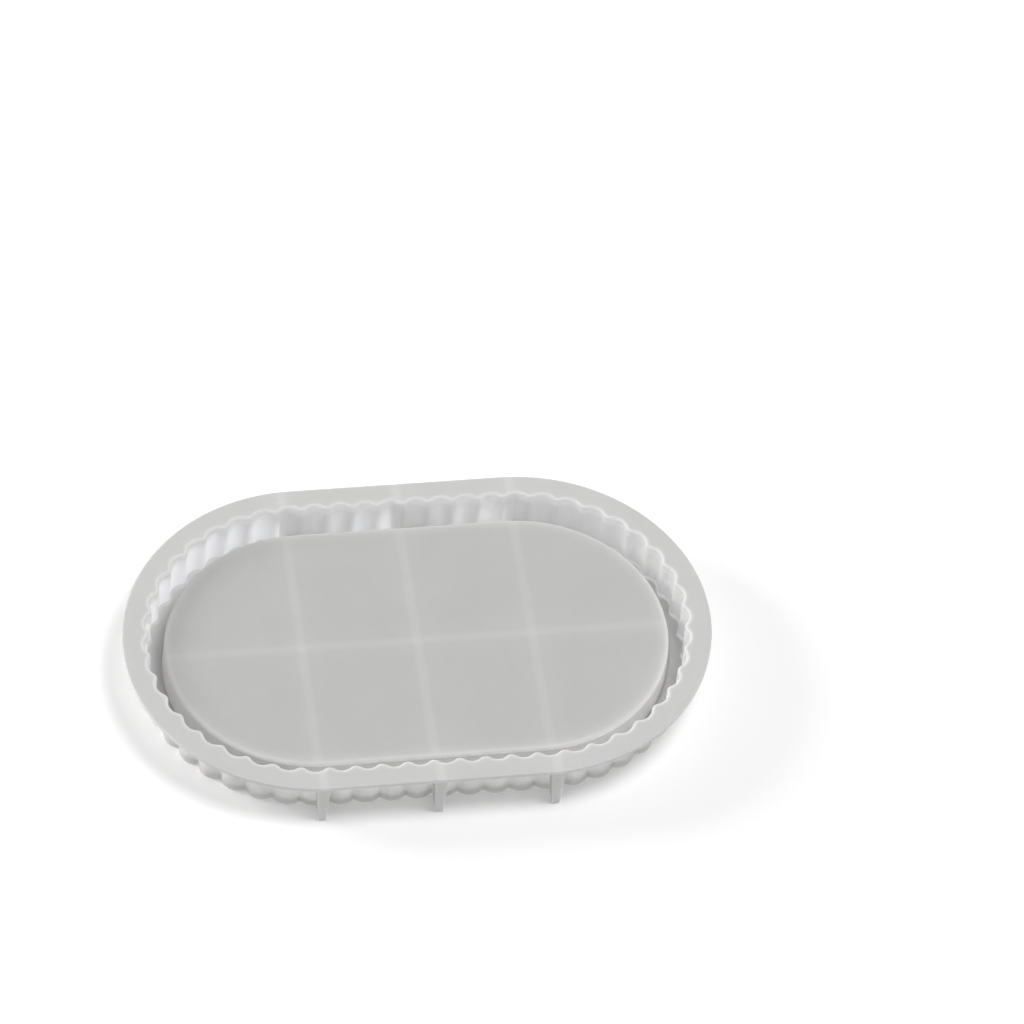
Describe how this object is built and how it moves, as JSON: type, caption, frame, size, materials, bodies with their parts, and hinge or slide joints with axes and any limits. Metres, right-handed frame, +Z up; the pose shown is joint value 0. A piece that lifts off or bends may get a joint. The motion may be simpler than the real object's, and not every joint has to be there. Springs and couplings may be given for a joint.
{
  "type": "resin casting mould",
  "caption": "Shallow stadium-shaped silicone mould with a flat rim, a fluted wall and a raised ribbed core, for casting an open tray in resin.",
  "frame": {"origin": "centre of the underside, on the bench", "axes": "+X along the length, +Y from the front straight to the back straight, +Z up out of the cavity's open side"},
  "size_m": [0.2524, 0.16, 0.023],
  "materials": {
    "silicone": "translucent satin"
  },
  "bodies": {
    "root": {"rim_flange": "silicone", "fluted_wall": "silicone", "channel_floor": "silicone", "core_wall": "silicone", "core_deck": "silicone", "cross_rib_left": "silicone", "cross_rib_centre": "silicone", "cross_rib_right": "silicone", "long_rib_outer_left": "silicone", "long_rib_inner_left": "silicone", "long_rib_inner_right": "silicone", "long_rib_outer_right": "silicone", "foot_front_left": "silicone", "foot_front_centre": "silicone", "foot_front_right": "silicone", "foot_back_left": "silicone", "foot_back_centre": "silicone", "foot_back_right": "silicone"}
  },
  "joints": []
}
